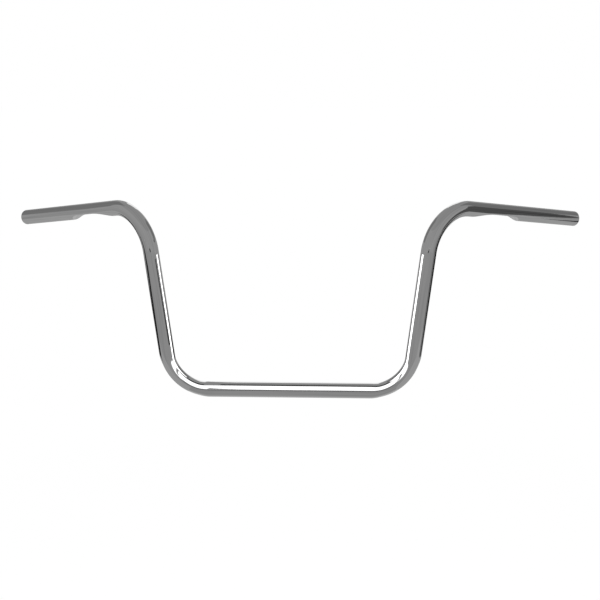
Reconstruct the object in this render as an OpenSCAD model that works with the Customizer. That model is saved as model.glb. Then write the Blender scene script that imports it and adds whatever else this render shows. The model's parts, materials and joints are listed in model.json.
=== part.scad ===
// Touring handlebar, bent from one length of round steel tube.
// Origin: middle of the centre rail, on the tube's axis.
// +X runs to the right-hand grip, +Y back towards the rider, +Z up the uprights.

/* [Tube] */
// Outside diameter of the tube
tube_d = 25.4; // [22:0.1:28.6]
// Thickness of the tube's wall
wall = 3; // [2:0.1:3.6]
// Round on the outer edge of each cut end
end_round = 1; // [0.4:0.1:1.5]
// Round on the inner edge of each cut end
bore_round = 0.5; // [0.2:0.1:1]

/* [Bends] */
// Straight centre rail between the two lower bends
rail_len = 262; // [180:1:360]
// Straight part of each upright, between its two bends
upright_len = 169; // [40:1:320]
// Straight part of each grip, from its bend to the cut end
grip_len = 265; // [260:1:320]
// Radius of every bend, on the tube's centreline
bend_r = 70.7; // [55:0.1:100]

/* [Angles] */
// Outward lean of each upright, from vertical
lean = 7.5; // [0:0.1:15]
// Backward sweep of each grip, seen from above
sweep = 42.5; // [10:0.1:60]
// Downward slope of each grip towards its end
drop = 9.1; // [0:0.1:20]

/* [Wiring dimple] */
// Distance from the cut end to the start of the dimple
dimple_start = 148; // [130:1:150]
// Length of the dimple's flat floor
floor_len = 44; // [25:1:48]
// Depth of the floor, from the underside of the tube
dimple_depth = 9.7; // [6:0.1:10.5]
// Radius of the trough across the tube
trough_r = 22.4; // [16:0.1:30]
// Radius of the steep outer end of the floor, along the tube
steep_r = 20; // [14:0.5:24]
// Radius of the long inner end of the floor, along the tube
ramp_r = 100; // [60:1:104]
// Round on the long edges of the dimple
lip_r = 3; // [1:0.1:3.5]

/* [Hidden] */
$fn = 96;

tube_r = tube_d / 2;
bore_r = tube_r - wall;
// Extra length of a cutter past the surface that it opens
past = 2;
// Extra angle of a bend's arc before it is trimmed
spare_turn = 4;

// A turned part keeps its exact size only where the sine and cosine of the
// turn, at six figures, still make a vector of length one. clean_turn finds
// the nearest such angle, which is less than a tenth of a degree away.
turn_step = 0.0001;
turn_tries = 1000;
true_length = 1e-9;
function six_figures(x) =
    let (unit = 10 ^ (floor(log(max(abs(x), true_length))) - 5))
    round(x / unit) * unit;
function stretch(angle) =
    abs(norm([six_figures(cos(angle)), six_figures(sin(angle))]) - 1);
function clean_turn(angle) =
    let (near = [
        for (k = [0:turn_tries], side = [-1, 1])
            if (stretch(angle + side * k * turn_step) < true_length)
                angle + side * k * turn_step
    ])
    len(near) > 0 ? near[0] : angle;

// Bend table, right-hand side: how far the lower bend turns
lower_turn = clean_turn(90 - lean);

// Direction of the upright, and the two across it: to the middle, and forwards
up_dir = [cos(lower_turn), 0, sin(lower_turn)];
across_in = [-sin(lower_turn), 0, cos(lower_turn)];
across_front = [0, -1, 0];

// How far the upper bend turns, and the turn of the tube between the bends
grip_dir = [cos(drop) * cos(sweep), cos(drop) * sin(sweep), -sin(drop)];
upper_turn = clean_turn(acos(up_dir * grip_dir));
upper_roll = clean_turn(atan2(grip_dir * across_front, grip_dir * across_in));

// Turn of the tube that brings the dimple straight under the grip
bend_to = cos(upper_roll) * across_in + sin(upper_roll) * across_front;
grip_inner = cos(upper_turn) * bend_to - sin(upper_turn) * up_dir;
grip_side = cos(upper_roll) * across_front - sin(upper_roll) * across_in;
dimple_roll = atan2(-grip_side[2], -grip_inner[2]);

// Height of the dimple's floor under the tube's axis, and the trough's centre
floor_x = tube_r - dimple_depth;
trough_x = floor_x + trough_r;

// The lip's circle rests on the trough and stands a hair past the tube's skin,
// so that the two surfaces cross instead of only touching
lip_proud = 0.1;
lip_dist = tube_r - lip_r + lip_proud;
lip_x = (trough_x ^ 2 + lip_dist ^ 2 - (trough_r + lip_r) ^ 2) / (2 * trough_x);
lip_y = sqrt(lip_dist ^ 2 - lip_x ^ 2);

// Lengths along the tube in which each end of the floor leaves the tube
function run_out(r) = sqrt(r ^ 2 - (r - dimple_depth) ^ 2);
steep_run = run_out(steep_r);
floor_end = grip_len - dimple_start - steep_run;

// Carries its children past a bend, which turns from +Z towards +X
module past_bend(turn) {
    translate([bend_r, 0, 0])
        rotate([0, turn, 0])
            translate([-bend_r, 0, 0])
                children();
}

// Start of the lower bend on the right-hand side: +Z along the rail, +X up
module at_rail_end() {
    translate([rail_len / 2, 0, 0])
        rotate([0, 90, 0])
            rotate([0, 0, 180])
                children();
}

// Start of the upright
module at_upright() {
    at_rail_end()
        past_bend(lower_turn)
            children();
}

// Start of the upper bend, turned so that the bend goes towards +X
module at_upper_bend() {
    at_upright()
        translate([0, 0, upright_len])
            rotate([0, 0, upper_roll])
                children();
}

// Start of the grip: +Z runs out along it
module at_grip() {
    at_upper_bend()
        past_bend(upper_turn)
            children();
}

// Both hands from one
module both_sides() {
    children();
    mirror([1, 0, 0])
        children();
}

// One bend of a rod of radius r. The arc is drawn a little long and trimmed
// square to what follows it, so that the two meet on one plane.
module bend(turn, r) {
    trim = 4 * r;
    difference() {
        translate([bend_r, 0, 0])
            rotate([90, 0, 180])
                rotate_extrude(angle = turn + spare_turn)
                    translate([bend_r, 0])
                        circle(r = r);
        past_bend(turn)
            translate([-trim / 2, -trim / 2, 0])
                cube([trim, trim, trim]);
    }
}

// Turns a straight about its own axis, so that the seam of its round wall
// runs on from the outside of the bend before it
module seam_outside() {
    rotate([0, 0, 180])
        children();
}

// A rod of radius r along the whole bar, up to the start of each grip
module bent_rod(r) {
    rotate([0, 90, 0])
        cylinder(h = rail_len, r = r, center = true);
    both_sides() {
        at_rail_end()
            bend(lower_turn, r);
        at_upright()
            seam_outside()
                cylinder(h = upright_len, r = r);
        at_upper_bend()
            bend(upper_turn, r);
    }
}

// Half outline of a rod with a rounded edge at its far end
module round_end_outline(r, len, edge) {
    square([r, len - edge]);
    square([r - edge, len]);
    translate([r - edge, len - edge])
        circle(r = edge);
}

// Half outline of the bore, which opens out in a round at the cut end
module bore_outline() {
    mouth = bore_r + bore_round;
    square([bore_r, grip_len + past]);
    difference() {
        translate([0, grip_len - bore_round])
            square([mouth, bore_round + past]);
        translate([mouth, grip_len - bore_round])
            circle(r = bore_round);
    }
}

// Outside of the whole tube
module outer_bar() {
    bent_rod(tube_r);
    both_sides()
        at_grip()
            seam_outside()
                rotate_extrude()
                    round_end_outline(tube_r, grip_len, end_round);
}

// Bore of the whole tube
module bore_bar() {
    bent_rod(bore_r);
    both_sides()
        at_grip()
            seam_outside()
                rotate_extrude()
                    bore_outline();
}

// Section of the tool that presses the dimple, x down from the tube's axis.
// grow makes it larger all round, for the inside of the wall.
module press_section(grow) {
    round_r = lip_r - grow;
    foot_x = tube_r + past;
    intersection() {
        union() {
            translate([trough_x, 0])
                circle(r = trough_r + grow);
            if (round_r > 0)
                for (side = [-1, 1])
                    lip_corner(side, round_r);
        }
        translate([0, -tube_d])
            square([foot_x, 2 * tube_d]);
    }
}

// The corner that the lip's round leaves between the trough and the skin
module lip_corner(side, round_r) {
    reach = tube_r / lip_dist;
    difference() {
        polygon([
            [lip_x, side * lip_y],
            [lip_x * reach, side * lip_y * reach],
            [tube_r + past, side * tube_r],
            [trough_x, 0]
        ]);
        translate([lip_x, side * lip_y])
            circle(r = round_r);
    }
}

// End of the pressing tool, which curves down and leaves the tube
module press_end(end_r, grow) {
    axis_x = floor_x + end_r;
    leave = acos((axis_x - tube_r - past) / (end_r + grow));
    translate([axis_x, 0, 0])
        rotate([90, 0, 180])
            rotate_extrude(angle = leave)
                mirror([1, 0])
                    translate([-axis_x, 0])
                        press_section(grow);
}

// The whole pressing tool, placed in the grip
module press_tool(grow) {
    at_grip()
        rotate([0, 0, dimple_roll])
            translate([0, 0, floor_end]) {
                press_end(steep_r, grow);
                translate([0, 0, -floor_len]) {
                    linear_extrude(floor_len)
                        press_section(grow);
                    mirror([0, 0, 1])
                        press_end(ramp_r, grow);
                }
            }
}

module handlebar() {
    color([0.8, 0.81, 0.82])
        difference() {
            outer_bar();
            both_sides()
                press_tool(0);
            difference() {
                bore_bar();
                both_sides()
                    press_tool(wall);
            }
        }
}

handlebar();
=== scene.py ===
import json
import math

import bpy
from mathutils import Matrix, Vector


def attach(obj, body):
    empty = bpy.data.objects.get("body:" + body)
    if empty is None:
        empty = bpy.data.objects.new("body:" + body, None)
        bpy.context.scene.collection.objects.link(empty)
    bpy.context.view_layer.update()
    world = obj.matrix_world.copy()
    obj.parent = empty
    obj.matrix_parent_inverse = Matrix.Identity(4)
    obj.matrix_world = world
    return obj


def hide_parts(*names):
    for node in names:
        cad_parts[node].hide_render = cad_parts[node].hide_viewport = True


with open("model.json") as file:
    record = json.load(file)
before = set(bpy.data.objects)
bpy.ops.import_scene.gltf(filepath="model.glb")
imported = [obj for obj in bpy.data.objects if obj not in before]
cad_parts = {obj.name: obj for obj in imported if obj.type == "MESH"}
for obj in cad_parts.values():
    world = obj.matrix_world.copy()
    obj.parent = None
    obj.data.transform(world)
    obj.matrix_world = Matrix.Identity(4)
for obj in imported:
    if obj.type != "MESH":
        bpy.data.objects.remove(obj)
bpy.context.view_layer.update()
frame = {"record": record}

bl_info = {
    "name": "Touring Handlebar",
    "version": (1, 0, 0),
    "blender": (4, 5, 0),
    "location": "3D View > Sidebar > Handlebar",
    "description": "Bends a chromed tube handlebar and sets up its studio",
    "category": "Add Mesh",
}

MM = 0.001

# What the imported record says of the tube, its rail and its grips
mounts = {mount["name"]: mount for mount in frame["record"]["mounts"]}
rail_mount = mounts["riser_clamp"]
grip_mount = mounts["grip_right"]
RECORD_RADIUS = rail_mount["dims"]["r_mm"] * MM
RECORD_RAIL = rail_mount["dims"]["length_mm"] * MM
GRIP_DIRECTION = Vector(grip_mount["axis"]).normalized()

# A vertex this near to a place counts as lying there
NEAR = 0.02 * MM

QUARTER_TURN = math.radians(90)


class HandlebarSizes(bpy.types.PropertyGroup):
    """Sizes of the bent tube"""

    tube_radius: bpy.props.FloatProperty(
        name="Tube radius",
        description="Outside radius of the tube",
        default=RECORD_RADIUS,
        subtype="DISTANCE",
    )
    wall: bpy.props.FloatProperty(
        name="Wall",
        description="Thickness of the tube's wall",
        default=3 * MM,
        subtype="DISTANCE",
    )
    rail_length: bpy.props.FloatProperty(
        name="Rail length",
        description="Straight centre rail between the two lower bends",
        default=RECORD_RAIL,
        subtype="DISTANCE",
    )
    upright_length: bpy.props.FloatProperty(
        name="Upright length",
        description="Straight part of each upright",
        default=169 * MM,
        subtype="DISTANCE",
    )
    grip_length: bpy.props.FloatProperty(
        name="Grip length",
        description="Straight part of each grip, up to its cut end",
        default=265 * MM,
        subtype="DISTANCE",
    )
    bend_radius: bpy.props.FloatProperty(
        name="Bend radius",
        description="Radius of every bend, on the tube's centreline",
        default=70.7 * MM,
        subtype="DISTANCE",
    )
    lower_turn: bpy.props.FloatProperty(
        name="Lower turn",
        description="Angle that each lower bend turns through",
        default=math.radians(82.5693),
        subtype="ANGLE",
    )
    flattening: bpy.props.FloatProperty(
        name="Flattening",
        description="Share by which a lower bend squeezes the tube, across the bend",
        default=0.09,
        subtype="FACTOR",
    )
    upper_flattening: bpy.props.FloatProperty(
        name="Upper flattening",
        description="Share by which an upper bend squeezes the tube",
        default=0.015,
        subtype="FACTOR",
    )
    widening: bpy.props.FloatProperty(
        name="Widening",
        description="Part of its squeeze by which a bend widens the tube",
        default=0.35,
        subtype="FACTOR",
    )
    bend_ease: bpy.props.FloatProperty(
        name="Bend ease",
        description="Length over which a bend's squeeze comes and goes",
        default=20 * MM,
        subtype="DISTANCE",
    )
    end_round: bpy.props.FloatProperty(
        name="End round",
        description="Round on the outer edge of each cut end",
        default=1 * MM,
        subtype="DISTANCE",
    )
    bore_round: bpy.props.FloatProperty(
        name="Bore round",
        description="Round on the inner edge of each cut end",
        default=0.5 * MM,
        subtype="DISTANCE",
    )


class DimpleSizes(bpy.types.PropertyGroup):
    """Sizes of the wiring dimple pressed under each grip"""

    start: bpy.props.FloatProperty(
        name="Start",
        description="Distance from the cut end to the start of the dimple",
        default=148 * MM,
        subtype="DISTANCE",
    )
    floor: bpy.props.FloatProperty(
        name="Floor",
        description="Length of the dimple's flat floor",
        default=44 * MM,
        subtype="DISTANCE",
    )
    depth: bpy.props.FloatProperty(
        name="Depth",
        description="Depth of the floor, from the underside of the tube",
        default=9.7 * MM,
        subtype="DISTANCE",
    )
    trough_radius: bpy.props.FloatProperty(
        name="Trough radius",
        description="Radius of the trough across the tube",
        default=22.4 * MM,
        subtype="DISTANCE",
    )
    steep_radius: bpy.props.FloatProperty(
        name="Steep radius",
        description="Radius of the steep outer end of the floor",
        default=20 * MM,
        subtype="DISTANCE",
    )
    ramp_radius: bpy.props.FloatProperty(
        name="Ramp radius",
        description="Radius of the long inner end of the floor",
        default=100 * MM,
        subtype="DISTANCE",
    )
    lip_radius: bpy.props.FloatProperty(
        name="Lip radius",
        description="Round on the long edges of the dimple",
        default=3 * MM,
        subtype="DISTANCE",
    )


class ChromeFinish(bpy.types.PropertyGroup):
    """Colours and gloss of the plated tube"""

    plate_color: bpy.props.FloatVectorProperty(
        name="Plate colour",
        description="Colour of the chrome plate",
        default=(0.81, 0.81, 0.81),
        subtype="COLOR",
        min=0,
        max=1,
    )
    # Painted reflection streaks: the plate's colour is darker along the polishing
    # lines, in place of the light that the lines catch
    line_color: bpy.props.FloatVectorProperty(
        name="Painted streak colour",
        description="Colour of the plate along the polishing lines",
        default=(0.72, 0.72, 0.725),
        subtype="COLOR",
        min=0,
        max=1,
    )
    bore_color: bpy.props.FloatVectorProperty(
        name="Bore colour",
        description="Colour of the bare steel inside the tube",
        default=(0.3, 0.29, 0.28),
        subtype="COLOR",
        min=0,
        max=1,
    )
    plate_roughness: bpy.props.FloatProperty(
        name="Plate roughness",
        description="Roughness of the clean plate",
        default=0.02,
        subtype="FACTOR",
    )
    bore_roughness: bpy.props.FloatProperty(
        name="Bore roughness",
        description="Roughness of the steel inside the tube",
        default=0.45,
        subtype="FACTOR",
    )


class StudioLight(bpy.types.PropertyGroup):
    """Floor and light of the studio"""

    floor_color: bpy.props.FloatVectorProperty(
        name="Floor colour",
        description="Colour of the floor, where the object's shadow falls",
        default=(0.9, 0.9, 0.9),
        subtype="COLOR",
        min=0,
        max=1,
    )
    fill: bpy.props.FloatProperty(
        name="Fill light",
        description="Light that the world gives to all but the eye and reflections",
        default=0.8,
        min=0,
    )
    lamp_level: bpy.props.FloatProperty(
        name="Lamp brightness",
        description="How bright the face of every lamp is, where 1 is white",
        default=1.3,
        min=0,
    )


class Centreline:
    """The right-hand half of the tube's centreline, from its sizes"""

    def __init__(self, sizes):
        turn = sizes.lower_turn
        self.radius = sizes.bend_radius
        self.rail_end = Vector((sizes.rail_length / 2, 0, 0))
        self.rail_direction = Vector((1, 0, 0))
        self.up = Vector((math.cos(turn), 0, math.sin(turn)))
        self.grip = GRIP_DIRECTION
        self.lower_turn = turn
        self.lower_axis = Vector((0, -1, 0))
        self.lower_centre = self.rail_end + self.radius * Vector((0, 0, 1))
        outward = Vector((math.sin(turn), 0, -math.cos(turn)))
        self.upright_start = self.lower_centre + self.radius * outward
        self.upright_end = self.upright_start + sizes.upright_length * self.up
        self.upper_turn = self.up.angle(self.grip)
        self.upper_axis = self.up.cross(self.grip).normalized()
        inward = self.upper_axis.cross(self.up)
        self.upper_centre = self.upright_end + self.radius * inward
        start = self.upright_end - self.upper_centre
        turned = Matrix.Rotation(self.upper_turn, 3, self.upper_axis) @ start
        self.grip_start = self.upper_centre + turned
        self.grip_end = self.grip_start + sizes.grip_length * self.grip


def half_length(sizes):
    """Length of the straight tube from its middle to a cut end"""
    line = Centreline(sizes)
    turns = line.lower_turn + line.upper_turn
    straights = sizes.rail_length / 2 + sizes.upright_length + sizes.grip_length
    return straights + turns * sizes.bend_radius


def on_right_half(place):
    """Which side a point is on, and the point mirrored to the right-hand half"""
    side = -1 if place.x < 0 else 1
    return side, Vector((side * place.x, place.y, place.z))


def deselect_all():
    """Clears the selection, so that an operator acts on new pieces only"""
    if bpy.context.object and bpy.context.object.mode != "OBJECT":
        bpy.ops.object.mode_set(mode="OBJECT")
    bpy.ops.object.select_all(action="DESELECT")


def extrude_ring(offset):
    """Extrudes the selected ring along one vector"""
    bpy.ops.mesh.extrude_region_move(TRANSFORM_OT_translate={"value": offset})


def extrude_straight(direction, length, lead, steps):
    """Extrudes the selected ring along a straight, with a short lead at each end"""
    extrude_ring(direction * lead)
    middle = (length - 2 * lead) / steps
    for _ in range(steps):
        extrude_ring(direction * middle)
    extrude_ring(direction * lead)


def spin_ring(centre, axis, turn, steps):
    """Spins the selected ring round a bend's axis"""
    bpy.ops.mesh.spin(
        steps=steps, angle=-turn, center=centre, axis=axis, use_auto_merge=False
    )


def apply_modifier(piece, kind, **values):
    """Adds a modifier with these values and applies it"""
    modifier = piece.modifiers.new(kind.title(), kind)
    for name, value in values.items():
        setattr(modifier, name, value)
    bpy.ops.object.modifier_apply(modifier=modifier.name)


def select_edges(piece, test):
    """Selects the edges whose two ends both pass a test of their place"""
    bpy.ops.mesh.select_all(action="DESELECT")
    bpy.ops.mesh.select_mode(type="EDGE")
    bpy.ops.object.mode_set(mode="OBJECT")
    passing = [test(vertex.co) for vertex in piece.data.vertices]
    for edge in piece.data.edges:
        first, second = edge.vertices
        edge.select = passing[first] and passing[second]
    bpy.ops.object.mode_set(mode="EDIT")


# Sides of the tube, and steps along each of its parts
SIDES = 96
BEND_STEPS = 48
RAIL_STEPS = 2
UPRIGHT_STEPS = 3
PLAIN_STEPS = 8

# Stretch of each grip that the dimple lies in, and the steps before and in it
DIMPLE_REACH = (10 * MM, 120 * MM)
FIRST_STEPS = 2
DIMPLE_STEPS = 88

# Short step next to each bend, which keeps its shading off the straight
LEAD = 1.5 * MM

# Segments of the rounds on the cut ends, and the sharpest edge shaded smooth
END_SEGMENTS = 4
SMOOTH_ANGLE = math.radians(40)

# Part of the dimple's lip round that is left on the inside of the wall
INNER_LIP = 1 / 3

# Name of the attribute that holds where a point lay on the straight tube
STRAIGHT_PLACE = "straight_place"


def extrude_grip(sizes, line):
    """Extrudes the grip, in short steps where the dimple will be pressed"""
    pressed = DIMPLE_REACH[1] - DIMPLE_REACH[0]
    after = sizes.grip_length - DIMPLE_REACH[1]
    extrude_straight(line.grip, DIMPLE_REACH[0], LEAD, FIRST_STEPS)
    for _ in range(DIMPLE_STEPS):
        extrude_ring(line.grip * pressed / DIMPLE_STEPS)
    extrude_straight(line.grip, after, LEAD, PLAIN_STEPS)


def bend_tube(sizes, line):
    """Extrudes and spins a ring along the right-hand half, and mirrors it"""
    deselect_all()
    bpy.ops.mesh.primitive_circle_add(
        vertices=SIDES,
        radius=sizes.tube_radius,
        fill_type="NOTHING",
        rotation=(0, QUARTER_TURN, 0),
    )
    tube = bpy.context.object
    tube.name = "chromed_tube"
    tube.data.name = "chromed_tube"
    bpy.ops.object.transform_apply(location=True, rotation=True, scale=True)
    bpy.ops.object.mode_set(mode="EDIT")
    bpy.ops.mesh.select_all(action="SELECT")
    extrude_straight(line.rail_direction, sizes.rail_length / 2, LEAD, RAIL_STEPS)
    spin_ring(line.lower_centre, line.lower_axis, line.lower_turn, BEND_STEPS)
    extrude_straight(line.up, sizes.upright_length, LEAD, UPRIGHT_STEPS)
    spin_ring(line.upper_centre, line.upper_axis, line.upper_turn, BEND_STEPS)
    extrude_grip(sizes, line)
    bpy.ops.object.mode_set(mode="OBJECT")
    apply_modifier(tube, "MIRROR", use_clip=True, merge_threshold=NEAR)
    bpy.ops.object.mode_set(mode="EDIT")
    bpy.ops.mesh.select_all(action="SELECT")
    bpy.ops.mesh.remove_doubles(threshold=NEAR)
    bpy.ops.mesh.normals_make_consistent(inside=False)
    bpy.ops.object.mode_set(mode="OBJECT")
    return tube


def face_outwards(tube):
    """Turns the shell's faces over if they point at the tube's axis"""
    face = min(tube.data.polygons, key=lambda polygon: polygon.center.length)
    outward = Vector((0, face.center.y, face.center.z))
    if face.normal.dot(outward) < 0:
        bpy.ops.object.mode_set(mode="EDIT")
        bpy.ops.mesh.select_all(action="SELECT")
        bpy.ops.mesh.flip_normals()
        bpy.ops.object.mode_set(mode="OBJECT")


def give_wall(tube, sizes):
    """Gives the shell its wall, inwards from the outside of the tube"""
    apply_modifier(
        tube,
        "SOLIDIFY",
        thickness=sizes.wall,
        offset=-1,
        use_even_offset=True,
        use_rim=True,
    )


def round_rim(tube, line, radius, width):
    """Rounds the edge of one radius at both cut ends"""
    ends = [line.grip_end, line.grip_end * Vector((-1, 1, 1))]

    def on_rim(place):
        return any(abs((place - end).length - radius) < NEAR for end in ends)

    bpy.ops.object.mode_set(mode="EDIT")
    select_edges(tube, on_rim)
    bpy.ops.mesh.bevel(
        offset=width, offset_type="OFFSET", segments=END_SEGMENTS, affect="EDGES"
    )
    bpy.ops.object.mode_set(mode="OBJECT")


def ease(share):
    """Smooth step from 0 to 1"""
    share = min(max(share, 0), 1)
    return share * share * (3 - 2 * share)


def squeezed(place, bend, sizes):
    """Where a point of the tube goes as a bend squeezes its section"""
    centre, axis, begins, turn, flattening = bend
    across = (begins - centre).normalized()
    onward = axis.cross(across)
    arm = place - centre
    angle = math.atan2(arm.dot(onward), arm.dot(across))
    if not 0 < angle < turn:
        return place
    from_end = min(angle, turn - angle) * sizes.bend_radius
    share = ease(from_end / sizes.bend_ease)
    radial = math.cos(angle) * across + math.sin(angle) * onward
    reach = arm.dot(radial) - sizes.bend_radius
    rise = arm.dot(axis)
    squeeze = flattening * share
    moved = place - radial * reach * squeeze
    return moved + axis * rise * squeeze * sizes.widening


def squeeze_bends(tube, sizes, line):
    """Squeezes the tube's section in all four bends, as bending does"""
    lower = (line.lower_centre, line.lower_axis, line.rail_end)
    upper = (line.upper_centre, line.upper_axis, line.upright_end)
    bends = (
        (*lower, line.lower_turn, sizes.flattening),
        (*upper, line.upper_turn, sizes.upper_flattening),
    )
    reach = sizes.bend_radius + 2 * sizes.tube_radius
    for vertex in tube.data.vertices:
        side, place = on_right_half(vertex.co)
        for bend in bends:
            if (place - bend[0]).length < reach:
                place = squeezed(place, bend, sizes)
        vertex.co = (side * place.x, place.y, place.z)


def blended_least(first, second, blend):
    """The smaller of two heights, with a round of about this size between them"""
    share = max(blend - abs(first - second), 0) / blend
    return min(first, second) - share * share * blend / 4


def press_height(across, along, dimple, radius, grow):
    """Depth under the tube's axis at which the pressing tool lies.

    across is the distance sideways, and along the distance from the floor's
    outer end, negative towards the bend. grow makes the tool larger all
    round, for the inside of the wall.
    """
    floor = radius - dimple.depth
    trough = dimple.trough_radius + grow
    centre = floor + dimple.trough_radius
    if abs(across) >= trough:
        return None
    depth = centre - math.sqrt(trough * trough - across * across)
    if along > 0:
        end_radius, past = dimple.steep_radius, along
    elif along < -dimple.floor:
        end_radius, past = dimple.ramp_radius, -dimple.floor - along
    else:
        return depth
    arm = floor + end_radius - depth
    if past >= arm:
        return None
    return floor + end_radius - math.sqrt(arm * arm - past * past)


def floor_end_place(sizes, dimple):
    """How far along the grip the dimple's flat floor ends"""
    arm = dimple.steep_radius - dimple.depth
    steep_run = math.sqrt(dimple.steep_radius ** 2 - arm ** 2)
    return sizes.grip_length - dimple.start - steep_run


def press_dimples(tube, sizes, dimple, line):
    """Presses the wiring dimple into the underside of both grips"""
    radius = sizes.tube_radius
    floor_end = floor_end_place(sizes, dimple)
    down = Vector((0, 0, -1))
    down = (down - down.dot(line.grip) * line.grip).normalized()
    aside = line.grip.cross(down)
    between = radius - sizes.wall / 2
    for vertex in tube.data.vertices:
        side, place = on_right_half(vertex.co)
        arm = place - line.grip_start
        along = arm.dot(line.grip)
        low = arm.dot(down)
        if not 0 < along < sizes.grip_length or low <= 0:
            continue
        across = arm.dot(aside)
        outside = math.hypot(low, across) > between
        grow = 0 if outside else sizes.wall
        height = press_height(across, along - floor_end, dimple, radius, grow)
        if height is None:
            continue
        blend = dimple.lip_radius * (1 if outside else INNER_LIP)
        place += down * (blended_least(low, height, blend) - low)
        vertex.co = (side * place.x, place.y, place.z)


def unbent(place, line, sizes):
    """Where a point of the right-hand half lay while the tube was straight"""
    if (place - line.grip_start).dot(line.grip) > 0:
        turn = line.upper_turn
    else:
        arm = place - line.upper_centre
        start = (line.upright_end - line.upper_centre).normalized()
        turn = math.atan2(arm.dot(line.up), arm.dot(start))
        if (place - line.upright_end).dot(line.up) < 0:
            turn = 0
    if turn > 0:
        back = Matrix.Rotation(-turn, 3, line.upper_axis)
        place = line.upper_centre + back @ (place - line.upper_centre)
        place = place + sizes.bend_radius * turn * line.up
    if (place - line.upright_start).dot(line.up) > 0:
        turn = line.lower_turn
    else:
        arm = place - line.lower_centre
        turn = math.atan2(arm.x, -arm.z)
        if place.x < line.rail_end.x:
            turn = 0
    if turn > 0:
        back = Matrix.Rotation(-turn, 3, line.lower_axis)
        place = line.lower_centre + back @ (place - line.lower_centre)
        place = place + sizes.bend_radius * turn * line.rail_direction
    return place


def note_straight_places(tube, sizes, line):
    """Keeps each point's place on the straight tube, for the polishing lines"""
    notes = tube.data.attributes.new(STRAIGHT_PLACE, "FLOAT_VECTOR", "POINT")
    for vertex, note in zip(tube.data.vertices, notes.data):
        side, place = on_right_half(vertex.co)
        place = unbent(place, line, sizes)
        note.vector = (side * place.x, place.y, place.z)


def add_node(tree, kind, place, **values):
    """Adds a shader node at a place in the editor"""
    node = tree.nodes.new(kind)
    node.location = place
    for name, value in values.items():
        setattr(node, name, value)
    return node


def add_maths(tree, operation, place, first, second):
    """Adds a maths node; each input is a link's source or a number"""
    node = add_node(tree, "ShaderNodeMath", place, operation=operation)
    for socket, source in zip(node.inputs, (first, second)):
        if isinstance(source, (int, float)):
            socket.default_value = source
        else:
            tree.links.new(source, socket)
    return node.outputs[0]


def add_noise(tree, place, vector, scale, detail):
    """Adds a noise texture read at a vector"""
    noise = add_node(tree, "ShaderNodeTexNoise", place)
    noise.inputs["Scale"].default_value = scale
    noise.inputs["Detail"].default_value = detail
    tree.links.new(vector, noise.inputs["Vector"])
    return noise.outputs["Fac"]


def add_step(tree, place, source, low, high):
    """Adds a soft step, from 0 at low to 1 at high"""
    step = add_node(
        tree, "ShaderNodeMapRange", place, interpolation_type="SMOOTHSTEP"
    )
    step.inputs["From Min"].default_value = low
    step.inputs["From Max"].default_value = high
    tree.links.new(source, step.inputs["Value"])
    return step.outputs["Result"]


# Numbers of a mix node's two inputs and its output, for each kind of value
MIX_SOCKETS = {"RGBA": (6, 7, 2), "FLOAT": (2, 3, 0)}


def add_mix(tree, place, kind, share, first, second):
    """Adds a mix of two links' sources: colours for RGBA, values for FLOAT"""
    mix = add_node(tree, "ShaderNodeMix", place, data_type=kind)
    first_input, second_input, output = MIX_SOCKETS[kind]
    tree.links.new(share, mix.inputs[0])
    tree.links.new(first, mix.inputs[first_input])
    tree.links.new(second, mix.inputs[second_input])
    return mix.outputs[output]


# Polishing lines are drawn out along the tube, which lies along X when straight
LINE_STRETCH = (0.02, 1, 1)
LINE_SCALE = 500
LINE_DETAIL = 5
# Share of the polishing lines over which the plate is darkened, as painted
# reflection streaks
PAINTED_STREAK_RANGE = (0.35, 0.6)
LINE_ROUGHNESS = 0.03
LINE_HEIGHT = 0.03
SMEAR_SCALE = 30
SMEAR_DETAIL = 2
SMEAR_ROUGHNESS = 0.04
WAVE_SCALE = 40
WAVE_DETAIL = 1
BUMP_DISTANCE = 0.03 * MM

# The plate fades out at the mouth of the bore, and wears at the cut ends
PLATE_FADE = 0.8 * MM
WEAR_REACH = 2.5 * MM
WEAR_ROUGHNESS = 0.12

PLATE_SOCKETS = (
    ("Place", "INPUT", "NodeSocketVector"),
    ("Plate Color", "INPUT", "NodeSocketColor"),
    # Colour of the painted reflection streaks along the polishing lines
    ("Painted Streak Color", "INPUT", "NodeSocketColor"),
    ("Bore Color", "INPUT", "NodeSocketColor"),
    ("Plate Roughness", "INPUT", "NodeSocketFloat"),
    ("Bore Roughness", "INPUT", "NodeSocketFloat"),
    ("Color", "OUTPUT", "NodeSocketColor"),
    ("Roughness", "OUTPUT", "NodeSocketFloat"),
    ("Height", "OUTPUT", "NodeSocketFloat"),
)


def plated_mask(tree, split, sizes):
    """1 on the outside and 0 in the bore, by the distance from the tube's axis"""
    across = add_node(tree, "ShaderNodeCombineXYZ", (-900, -600))
    tree.links.new(split.outputs["Y"], across.inputs["Y"])
    tree.links.new(split.outputs["Z"], across.inputs["Z"])
    length = add_node(tree, "ShaderNodeVectorMath", (-700, -600), operation="LENGTH")
    tree.links.new(across.outputs[0], length.inputs[0])
    distance = length.outputs["Value"]
    bore = sizes.tube_radius - sizes.wall
    return add_step(tree, (-500, -600), distance, bore, bore + PLATE_FADE)


def worn_mask(tree, split, sizes):
    """0 along the tube, rising to 1 at the edges of the cut ends"""
    out = add_maths(tree, "ABSOLUTE", (-900, -800), split.outputs["X"], 0)
    end = half_length(sizes)
    return add_step(tree, (-500, -800), out, end - WEAR_REACH, end)


def mix_color(tree, given, lines, plated):
    """Colour of the plate, darker along its polishing lines as painted reflection
    streaks, and of the bore
    """
    # The plate is darker along the lines: painted reflection streaks
    painted_streak_share = add_step(tree, (-500, 500), lines, *PAINTED_STREAK_RANGE)
    line, plate = given["Painted Streak Color"], given["Plate Color"]
    outside = add_mix(tree, (-200, 500), "RGBA", painted_streak_share, line, plate)
    return add_mix(tree, (100, 400), "RGBA", plated, given["Bore Color"], outside)


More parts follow.
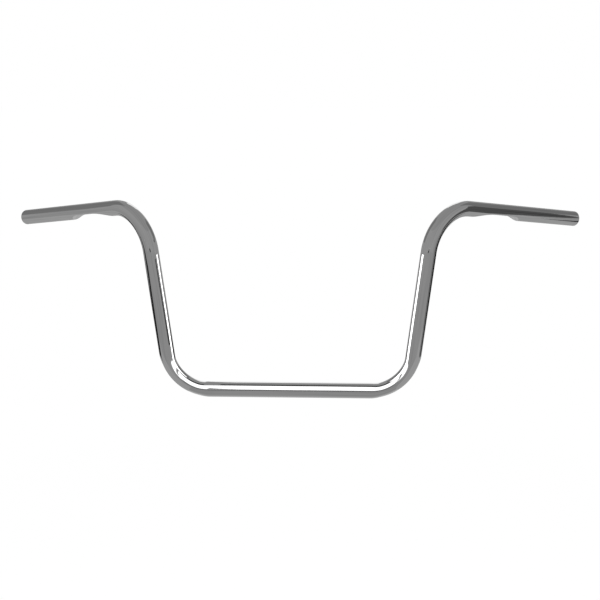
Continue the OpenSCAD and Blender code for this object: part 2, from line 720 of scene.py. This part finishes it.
def mix_roughness(tree, given, lines, smears, masks):
    """Roughness of the plate with its lines, smears and wear, and of the bore"""
    plated, worn = masks
    smeared = add_maths(tree, "MULTIPLY", (-500, 0), smears, SMEAR_ROUGHNESS)
    lined = add_maths(tree, "MULTIPLY", (-500, 200), lines, LINE_ROUGHNESS)
    both = add_maths(tree, "ADD", (-300, 100), smeared, lined)
    wear = add_maths(tree, "MULTIPLY", (-300, -800), worn, WEAR_ROUGHNESS)
    clean = add_maths(tree, "ADD", (-100, -100), given["Plate Roughness"], wear)
    outside = add_maths(tree, "ADD", (100, 0), clean, both)
    inside = given["Bore Roughness"]
    return add_mix(tree, (300, 0), "FLOAT", plated, inside, outside)


def make_plate_group(sizes):
    """Plated, polished tube: its colour, roughness and height at a place.

    Fine lines run along the tube, with the plate's colour darker along them as
    painted reflection streaks; smears lie across them, the plate is worn on the
    edges of the cut ends, and inside the bore the steel is dull.
    """
    tree = bpy.data.node_groups.new("plated_tube", "ShaderNodeTree")
    for name, way, kind in PLATE_SOCKETS:
        tree.interface.new_socket(name, in_out=way, socket_type=kind)
    given = add_node(tree, "NodeGroupInput", (-1300, 0)).outputs
    result = add_node(tree, "NodeGroupOutput", (700, 0)).inputs
    place = given["Place"]
    stretch = add_node(tree, "ShaderNodeMapping", (-1100, 300))
    stretch.inputs["Scale"].default_value = LINE_STRETCH
    tree.links.new(place, stretch.inputs["Vector"])
    drawn_out = stretch.outputs["Vector"]
    lines = add_noise(tree, (-850, 300), drawn_out, LINE_SCALE, LINE_DETAIL)
    smears = add_noise(tree, (-850, 0), place, SMEAR_SCALE, SMEAR_DETAIL)
    waves = add_noise(tree, (-850, -300), place, WAVE_SCALE, WAVE_DETAIL)
    split = add_node(tree, "ShaderNodeSeparateXYZ", (-1100, -600))
    tree.links.new(place, split.inputs[0])
    masks = plated_mask(tree, split, sizes), worn_mask(tree, split, sizes)

    color = mix_color(tree, given, lines, masks[0])
    tree.links.new(color, result["Color"])
    roughness = mix_roughness(tree, given, lines, smears, masks)
    tree.links.new(roughness, result["Roughness"])
    scored = add_maths(tree, "MULTIPLY", (-300, -300), lines, LINE_HEIGHT)
    height = add_maths(tree, "ADD", (100, -300), scored, waves)
    tree.links.new(height, result["Height"])
    return tree


def new_material(name):
    """A new material and its node tree"""
    material = bpy.data.materials.new(name)
    material.use_nodes = True
    return material, material.node_tree


def make_chrome(sizes, finish):
    """Bright chrome plate on polished steel, with a dull bore"""
    material, tree = new_material("chrome")
    shader = tree.nodes["Principled BSDF"]
    shader.inputs["Metallic"].default_value = 1
    place = add_node(
        tree, "ShaderNodeAttribute", (-900, 0), attribute_name=STRAIGHT_PLACE
    )
    plate = add_node(tree, "ShaderNodeGroup", (-650, 0))
    plate.node_tree = make_plate_group(sizes)
    plate.inputs["Plate Color"].default_value = (*finish.plate_color, 1)
    # Colour of the painted reflection streaks along the polishing lines
    plate.inputs["Painted Streak Color"].default_value = (*finish.line_color, 1)
    plate.inputs["Bore Color"].default_value = (*finish.bore_color, 1)
    plate.inputs["Plate Roughness"].default_value = finish.plate_roughness
    plate.inputs["Bore Roughness"].default_value = finish.bore_roughness
    tree.links.new(place.outputs["Vector"], plate.inputs["Place"])
    tree.links.new(plate.outputs["Color"], shader.inputs["Base Color"])
    tree.links.new(plate.outputs["Roughness"], shader.inputs["Roughness"])
    bump = add_node(tree, "ShaderNodeBump", (-250, -200))
    bump.inputs["Distance"].default_value = BUMP_DISTANCE
    tree.links.new(plate.outputs["Height"], bump.inputs["Height"])
    tree.links.new(bump.outputs["Normal"], shader.inputs["Normal"])
    return material


def check_sizes(sizes):
    """Stops where the tube couldn't be bent from these sizes"""
    if sizes.wall >= sizes.tube_radius:
        raise ValueError("The wall leaves no bore in the tube")
    if sizes.bend_radius <= sizes.tube_radius:
        raise ValueError("The bend radius is too small for the tube")
    if sizes.grip_length <= DIMPLE_REACH[1]:
        raise ValueError("The grip is too short for its dimple")


class HANDLEBAR_OT_tube(bpy.types.Operator):
    """Bends the chromed tube, with its wall, squeezed bends and dimples"""

    bl_idname = "handlebar.tube"
    bl_label = "Bend the Tube"

    def execute(self, context):
        sizes = context.scene.handlebar_sizes
        dimple = context.scene.handlebar_dimple
        finish = context.scene.handlebar_finish
        check_sizes(sizes)
        line = Centreline(sizes)
        tube = bend_tube(sizes, line)
        face_outwards(tube)
        give_wall(tube, sizes)
        round_rim(tube, line, sizes.tube_radius, sizes.end_round)
        round_rim(tube, line, sizes.tube_radius - sizes.wall, sizes.bore_round)
        note_straight_places(tube, sizes, line)
        squeeze_bends(tube, sizes, line)
        press_dimples(tube, sizes, dimple, line)
        deselect_all()
        tube.select_set(True)
        context.view_layer.objects.active = tube
        bpy.ops.object.shade_smooth_by_angle(angle=SMOOTH_ANGLE)
        tube.data.materials.append(make_chrome(sizes, finish))
        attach(tube, "root")
        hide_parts("handlebar")
        return {"FINISHED"}


# Camera, at the photograph's viewing angle
CAMERA_DISTANCE = 2.291
CAMERA_TARGET = Vector((0, 0, 0.15))
CAMERA_PITCH = math.radians(11.8)
CAMERA_YAW = math.radians(-3.72)
CAMERA_ROLL = math.radians(-0.39)
CAMERA_LENS = 85.19
SENSOR_WIDTH = 36

# Width of the photo, and the column that the lens is aimed at, in pixels
PHOTO_SIZE = 600
PHOTO_CENTRE_X = 289.24

WHITE = (1, 1, 1, 1)

FLOOR_SIZE = 40
FLOOR_HEIGHT = -1
FLOOR_ROUGHNESS = 0.7

# Share of the floor that glows white to the eye, and how bright that glow is.
# The rest of the floor is lit, and shows the shadow.
FLOOR_GLOW = 0.9
FLOOR_LEVEL = 1.03

# Round grey walls: radius, foot and top, and the half angle open at the back
WALL_SIDES = 72
WALL_RADIUS = 3
WALL_FOOT = -0.9
WALL_TOP = 3
OPEN_BACK = math.radians(10)

# Heights on the walls, from the foot up, and the grey there
WALL_GREYS = (
    (WALL_FOOT, 0.3),
    (-0.3, 0.3),
    (0.3, 0.33),
    (WALL_TOP, 0.33),
)

# Cards that the chrome reflects: name, size, place, turn in degrees, and how
# bright. The skirts stand at the edges of the lamps, and the flags are dark.
CARDS = (
    ("foot_card", (6, 6), (0, 0, -0.9), (0, 0, 0), 0.37),
    ("front_foot_card", (1.2, 2.9), (0, -1.5, -0.89), (0, 0, 0), 0.3),
    ("back_foot_card", (1.2, 2.7), (0, 1.65, -0.89), (0, 0, 0), 0.5),
    ("top_card", (6, 6), (0, 0, 3), (180, 0, 0), 0.29),
    ("dark_strip", (0.28, 0.08), (0, -0.04, 0.25), (180, 0, 0), 0.03),
    ("left_skirt", (1.1, 0.024), (-0.195, -0.53, 0.238), (90, 0, -90), 0.33),
    ("right_skirt", (1.1, 0.024), (0.195, -0.53, 0.238), (90, 0, 90), 0.33),
    ("left_outer_skirt", (1.1, 0.024), (-0.24, -0.57, 0.238), (90, 0, 90), 0.33),
    ("right_outer_skirt", (1.1, 0.024), (0.24, -0.57, 0.238), (90, 0, -90), 0.33),
    ("horizon_flag", (0.66, 0.3), (-0.18, -2.8, 0.03), (-90, 0, 0), 0.03),
    ("inner_flag", (0.02, 0.145), (-0.15, -0.041, 0.143), (90, 9, -90), 0.03),
    ("left_low_flag", (0.16, 0.28), (-0.5, 0.04, 0.04), (90, -30, 90), 0.02),
    ("left_far_flag", (1.6, 0.3), (-1.5, 1.46, -0.42), (90, 0, 90), 0.01),
    ("left_high_flag", (2, 2), (-1.5, 1.35, 1.5), (90, 0, 90), 0.19),
    ("right_low_flag", (2.39, 0.41), (1.5, 1.505, -0.325), (90, 0, -90), 0.01),
    ("right_side_flag", (0.235, 0.55), (1.49, 0.018, -0.175), (90, 0, -90), 0.08),
    ("right_grip_flag", (0.45, 0.95), (1.485, 0.09, 0.365), (90, -23, -90), 0.08),
    ("right_line_flag", (0.17, 0.1), (1.48, 0.235, 0.38), (90, 0, -90), 0.045),
    ("right_high_flag", (2.3, 1.6), (1.5, 1.45, 1.5), (90, 0, -90), 0.18),
)

# Radiant power that makes a lamp of one square metre look white
LAMP_UNIT = math.pi

# Lamps: name, size, place, turn in degrees, and spread in degrees. The two
# small ones have honeycomb grids, which keep their light off the rail.
LAMPS = (
    ("ceiling_lamp", (0.38, 0.95), (0, -0.575, 0.25), (0, 0, 0), 180),
    ("left_ceiling_lamp", (1.36, 0.95), (-0.92, -0.575, 0.25), (0, 0, 0), 180),
    ("right_ceiling_lamp", (1.36, 0.95), (0.92, -0.575, 0.25), (0, 0, 0), 180),
    ("front_lamp_left", (1.3, 1.6), (-1.1, -1.85, 0.25), (0, 0, 0), 180),
    ("front_lamp_right", (1.6, 1.6), (0.95, -1.85, 0.25), (0, 0, 0), 180),
    ("inner_lamp_left", (0.18, 0.066), (-0.002, 0.018, 0.13), (0, 90, 0), 120),
    ("inner_lamp_right", (0.18, 0.1), (0.002, -0.01, 0.13), (0, -90, 0), 120),
)


def place_camera(scene):
    """Sets the camera at the photograph's viewing angle"""
    data = bpy.data.cameras.new("camera")
    data.sensor_width = SENSOR_WIDTH
    data.lens = CAMERA_LENS
    data.shift_x = (PHOTO_SIZE / 2 - PHOTO_CENTRE_X) / PHOTO_SIZE
    camera = bpy.data.objects.new("camera", data)
    scene.collection.objects.link(camera)
    scene.camera = camera
    turn = (
        Matrix.Rotation(-CAMERA_YAW, 4, "Z")
        @ Matrix.Rotation(-CAMERA_PITCH, 4, "X")
        @ Matrix.Rotation(-CAMERA_ROLL, 4, "Y")
    )
    look = Matrix.Rotation(QUARTER_TURN, 4, "X")
    back = Matrix.Translation((0, -CAMERA_DISTANCE, 0))
    camera.matrix_world = Matrix.Translation(CAMERA_TARGET) @ turn @ back @ look


def sees_background(tree):
    """1 for the rays that show the background: camera, glossy, transmission"""
    rays = add_node(tree, "ShaderNodeLightPath", (-900, 300)).outputs
    camera, glossy = rays["Is Camera Ray"], rays["Is Glossy Ray"]
    first = add_maths(tree, "MAXIMUM", (-700, 300), camera, glossy)
    clear = rays["Is Transmission Ray"]
    return add_maths(tree, "MAXIMUM", (-500, 300), first, clear)


def light_world(scene, fill):
    """White to the eye and in reflections, and a plain grey light otherwise"""
    world = bpy.data.worlds.new("studio")
    world.use_nodes = True
    tree = world.node_tree
    background = tree.nodes["Background"]
    background.inputs["Color"].default_value = WHITE
    level = add_node(tree, "ShaderNodeMapRange", (-250, 300))
    level.inputs["To Min"].default_value = fill
    level.inputs["To Max"].default_value = 1
    tree.links.new(sees_background(tree), level.inputs["Value"])
    tree.links.new(level.outputs["Result"], background.inputs["Strength"])
    scene.world = world


def add_glow(tree, place, level):
    """Adds an even white glow"""
    glow = add_node(tree, "ShaderNodeEmission", place)
    glow.inputs["Color"].default_value = WHITE
    glow.inputs["Strength"].default_value = level
    return glow.outputs[0]


def show_surface(tree, shader):
    """Links a shader to the material's surface"""
    output = tree.nodes["Material Output"]
    tree.links.new(shader, output.inputs["Surface"])


def mix_shaders(tree, share, first, second):
    """Mixes two shaders and shows the mix on the surface"""
    mix = add_node(tree, "ShaderNodeMixShader", (300, 0))
    for source, socket in zip((share, first, second), mix.inputs):
        tree.links.new(source, socket)
    show_surface(tree, mix.outputs[0])


def add_plane(name, size, place, turn=(0, 0, 0)):
    """Adds a flat stage piece of this width and depth, and applies its place"""
    deselect_all()
    bpy.ops.mesh.primitive_plane_add(size=1, location=place, rotation=turn)
    plane = bpy.context.object
    plane.name = name
    plane.scale = (size[0], size[1], 1)
    bpy.ops.object.transform_apply(location=True, rotation=True, scale=True)
    return plane


def lay_floor(color):
    """Pale floor, which is mostly plain white to the eye but keeps a shadow"""
    floor = add_plane("floor", (FLOOR_SIZE, FLOOR_SIZE), (0, 0, FLOOR_HEIGHT))
    material, tree = new_material("pale_floor")
    paint = tree.nodes["Principled BSDF"]
    paint.inputs["Base Color"].default_value = (*color, 1)
    paint.inputs["Roughness"].default_value = FLOOR_ROUGHNESS
    glow = add_glow(tree, (0, -300), FLOOR_LEVEL)
    seen = sees_background(tree)
    share = add_maths(tree, "MULTIPLY", (-250, 300), seen, FLOOR_GLOW)
    mix_shaders(tree, share, paint.outputs[0], glow)
    floor.data.materials.append(material)


def show_in_chrome_only(piece):
    """Keeps a piece out of the picture, the light and the shadows"""
    piece.visible_camera = False
    piece.visible_diffuse = False
    piece.visible_shadow = False


def paint_card(card, level):
    """One even grey on the front of a card; its back lets light through"""
    material, tree = new_material(card.name)
    tree.nodes.remove(tree.nodes["Principled BSDF"])
    glow = add_glow(tree, (0, 0), level)
    clear = add_node(tree, "ShaderNodeBsdfTransparent", (0, -200))
    side = add_node(tree, "ShaderNodeNewGeometry", (0, 200))
    mix_shaders(tree, side.outputs["Backfacing"], glow, clear.outputs[0])
    card.data.materials.append(material)


def hang_cards():
    """Hangs the cards that the chrome reflects"""
    for name, size, place, turn, level in CARDS:
        turn = tuple(math.radians(angle) for angle in turn)
        card = add_plane(name, size, place, turn)
        paint_card(card, level)
        show_in_chrome_only(card)


def open_at_back(walls):
    """Deletes the faces of the round walls that stand behind the object"""
    bpy.ops.object.mode_set(mode="EDIT")
    bpy.ops.mesh.select_all(action="DESELECT")
    bpy.ops.mesh.select_mode(type="FACE")
    bpy.ops.object.mode_set(mode="OBJECT")
    for face in walls.data.polygons:
        behind = abs(math.atan2(face.center.x, face.center.y))
        face.select = behind < OPEN_BACK
    bpy.ops.object.mode_set(mode="EDIT")
    bpy.ops.mesh.delete(type="FACE")
    bpy.ops.object.mode_set(mode="OBJECT")


def add_wall_ramp(tree):
    """Adds the ramp of greys that runs up the walls"""
    ramp = add_node(tree, "ShaderNodeValToRGB", (-300, 0))
    stops = ramp.color_ramp.elements
    for _ in WALL_GREYS[2:]:
        stops.new(1)
    for stop, (top, level) in zip(stops, WALL_GREYS):
        stop.position = (top - WALL_FOOT) / (WALL_TOP - WALL_FOOT)
        stop.color = (level, level, level, 1)
    return ramp


def paint_walls(walls):
    """Paints the walls in soft greys, by their height"""
    material, tree = new_material(walls.name)
    tree.nodes.remove(tree.nodes["Principled BSDF"])
    place = add_node(tree, "ShaderNodeTexCoord", (-900, 0))
    split = add_node(tree, "ShaderNodeSeparateXYZ", (-700, 0))
    tree.links.new(place.outputs["Object"], split.inputs[0])
    height = add_node(tree, "ShaderNodeMapRange", (-500, 0))
    height.inputs["From Min"].default_value = WALL_FOOT
    height.inputs["From Max"].default_value = WALL_TOP
    tree.links.new(split.outputs["Z"], height.inputs["Value"])
    ramp = add_wall_ramp(tree)
    tree.links.new(height.outputs["Result"], ramp.inputs["Fac"])
    glow = add_node(tree, "ShaderNodeEmission", (0, 0))
    tree.links.new(ramp.outputs["Color"], glow.inputs["Color"])
    show_surface(tree, glow.outputs[0])
    walls.data.materials.append(material)


def build_walls():
    """Round walls in soft greys, open at the back"""
    deselect_all()
    bpy.ops.mesh.primitive_cylinder_add(
        vertices=WALL_SIDES,
        radius=WALL_RADIUS,
        depth=WALL_TOP - WALL_FOOT,
        end_fill_type="NOTHING",
        location=(0, 0, (WALL_TOP + WALL_FOOT) / 2),
    )
    walls = bpy.context.object
    walls.name = "grey_walls"
    bpy.ops.object.transform_apply(location=True, rotation=True, scale=True)
    open_at_back(walls)
    paint_walls(walls)
    show_in_chrome_only(walls)


def hang_lamps(scene, level):
    """Hangs the soft white lamps"""
    for name, size, place, turn, spread in LAMPS:
        data = bpy.data.lights.new(name, "AREA")
        data.shape = "RECTANGLE"
        data.size, data.size_y = size
        data.energy = level * LAMP_UNIT * size[0] * size[1]
        data.spread = math.radians(spread)
        lamp = bpy.data.objects.new(name, data)
        lamp.location = place
        lamp.rotation_euler = [math.radians(angle) for angle in turn]
        lamp.visible_camera = False
        scene.collection.objects.link(lamp)


class HANDLEBAR_OT_stage(bpy.types.Operator):
    """Sets up the floor, the light and the camera"""

    bl_idname = "handlebar.stage"
    bl_label = "Set Up the Studio"

    def execute(self, context):
        scene = context.scene
        studio = scene.handlebar_studio
        scene.view_settings.view_transform = "Standard"
        place_camera(scene)
        light_world(scene, studio.fill)
        lay_floor(studio.floor_color)
        build_walls()
        hang_cards()
        hang_lamps(scene, studio.lamp_level)
        return {"FINISHED"}


class HANDLEBAR_PT_panel(bpy.types.Panel):
    """Lists the handlebar's operators, and the sizes and colours they use"""

    bl_idname = "HANDLEBAR_PT_panel"
    bl_label = "Handlebar"
    bl_space_type = "VIEW_3D"
    bl_region_type = "UI"
    bl_category = "Handlebar"

    def draw(self, context):
        for operator in OPERATORS:
            self.layout.operator(operator.bl_idname)
        for name, group in GROUPS.items():
            values = getattr(context.scene, name)
            for value in group.__annotations__:
                self.layout.prop(values, value)


OPERATORS = (HANDLEBAR_OT_tube, HANDLEBAR_OT_stage)
GROUPS = {
    "handlebar_sizes": HandlebarSizes,
    "handlebar_dimple": DimpleSizes,
    "handlebar_finish": ChromeFinish,
    "handlebar_studio": StudioLight,
}
CLASSES = (*GROUPS.values(), *OPERATORS, HANDLEBAR_PT_panel)


def register():
    """Registers the classes, and gives every scene their sizes and colours"""
    for cls in CLASSES:
        bpy.utils.register_class(cls)
    for name, group in GROUPS.items():
        setattr(bpy.types.Scene, name, bpy.props.PointerProperty(type=group))


def unregister():
    """Takes the sizes, colours and classes away again"""
    for name in GROUPS:
        delattr(bpy.types.Scene, name)
    for cls in reversed(CLASSES):
        bpy.utils.unregister_class(cls)


def main():
    """Makes the handlebar and its studio"""
    register()
    bpy.ops.handlebar.tube()
    bpy.ops.handlebar.stage()


if __name__ == "__main__":
    main()
